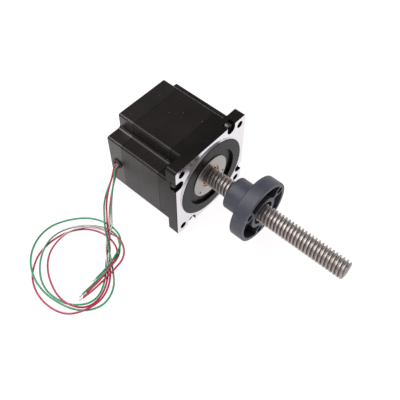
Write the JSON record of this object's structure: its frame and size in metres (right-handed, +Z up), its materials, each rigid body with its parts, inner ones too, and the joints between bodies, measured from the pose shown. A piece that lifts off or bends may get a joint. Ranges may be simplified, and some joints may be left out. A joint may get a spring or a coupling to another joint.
{
  "type": "linear stepper motor",
  "caption": "Square-flanged hybrid stepper motor that turns a threaded lead screw, with a flanged plastic nut that travels along the screw.",
  "frame": {"origin": "centre of the mounting flange's front face, on the motor's axis", "axes": "+X along the lead screw, away from the motor; +Z up; +Y away from the side that the leads leave"},
  "size_m": [0.2251, 0.205, 0.084],
  "materials": {
    "painted_aluminium": "satin black paint, mounting face and pilot edge left bare",
    "painted_steel": "satin black paint over the laminations",
    "machined_steel": "fine turned",
    "bearing_steel": "ground and polished",
    "screw_steel": "zinc plated",
    "stainless_steel": "rolled thread, semi bright",
    "bronze": "turned bronze",
    "rotor_steel": "ground laminations",
    "magnet": "nickel plated",
    "copper_winding": "enamelled wire",
    "nylon": "moulded natural nylon",
    "circuit_board": "solder mask",
    "moulded_plastic": "satin moulded acetal",
    "rubber_bush": "matt",
    "green_insulation": "extruded",
    "red_insulation": "extruded",
    "red_white_insulation": "extruded, white tracer",
    "green_white_insulation": "extruded, white tracer"
  },
  "bodies": {
    "root": {"front_end_bell": "painted_aluminium", "rear_end_bell": "painted_aluminium", "stator_laminations": "painted_steel", "bearing_retainer": "machined_steel", "throat_bush": "bronze", "front_bobbin": "nylon", "rear_bobbin": "nylon", "stator_coils": "copper_winding", "termination_board": "circuit_board", "tie_screws": "screw_steel", "preload_spring": "bearing_steel", "front_bearing_outer_race": "bearing_steel", "front_bearing_shields": "bearing_steel", "rear_bearing_outer_race": "bearing_steel", "rear_bearing_shields": "bearing_steel", "lead_grommet": "rubber_bush", "lead_green": "green_insulation", "lead_red": "red_insulation", "lead_red_white": "red_white_insulation", "lead_green_white": "green_white_insulation", "lead_coil": "green_insulation"},
    "screw": {"lead_screw": "stainless_steel", "rotor_shaft": "machined_steel", "rotor_magnet": "magnet", "rotor_cup_front": "rotor_steel", "rotor_cup_rear": "rotor_steel", "front_bearing_inner_race": "bearing_steel", "rear_bearing_inner_race": "bearing_steel"},
    "nut": {"lead_nut": "moulded_plastic"},
    "front_balls": {"front_bearing_balls": "bearing_steel", "front_bearing_cage": "nylon"},
    "rear_balls": {"rear_bearing_balls": "bearing_steel", "rear_bearing_cage": "nylon"}
  },
  "joints": [
    {"name": "screw_spin", "type": "hinge", "parent": "root", "child": "screw", "pos_m": [0, 0, 0], "axis": [1, 0, 0], "range_deg": [-4320, 1080]},
    {"name": "nut_travel", "type": "slide", "parent": "root", "child": "nut", "axis": [1, 0, 0], "range_m": [-0.0191, 0.07625]},
    {"name": "front_ball_roll", "type": "hinge", "parent": "root", "child": "front_balls", "pos_m": [-0.009, 0, 0], "axis": [1, 0, 0], "range_deg": [-1745.62, 437.15]},
    {"name": "rear_ball_roll", "type": "hinge", "parent": "root", "child": "rear_balls", "pos_m": [-0.0666, 0, 0], "axis": [1, 0, 0], "range_deg": [-1707.4, 427.6]}
  ],
  "couplings": [
    {"joint": "nut_travel", "follows": "screw_spin", "m_per_rad": -0.0010106},
    {"joint": "front_ball_roll", "follows": "screw_spin", "ratio": 0.40385},
    {"joint": "rear_ball_roll", "follows": "screw_spin", "ratio": 0.395}
  ]
}
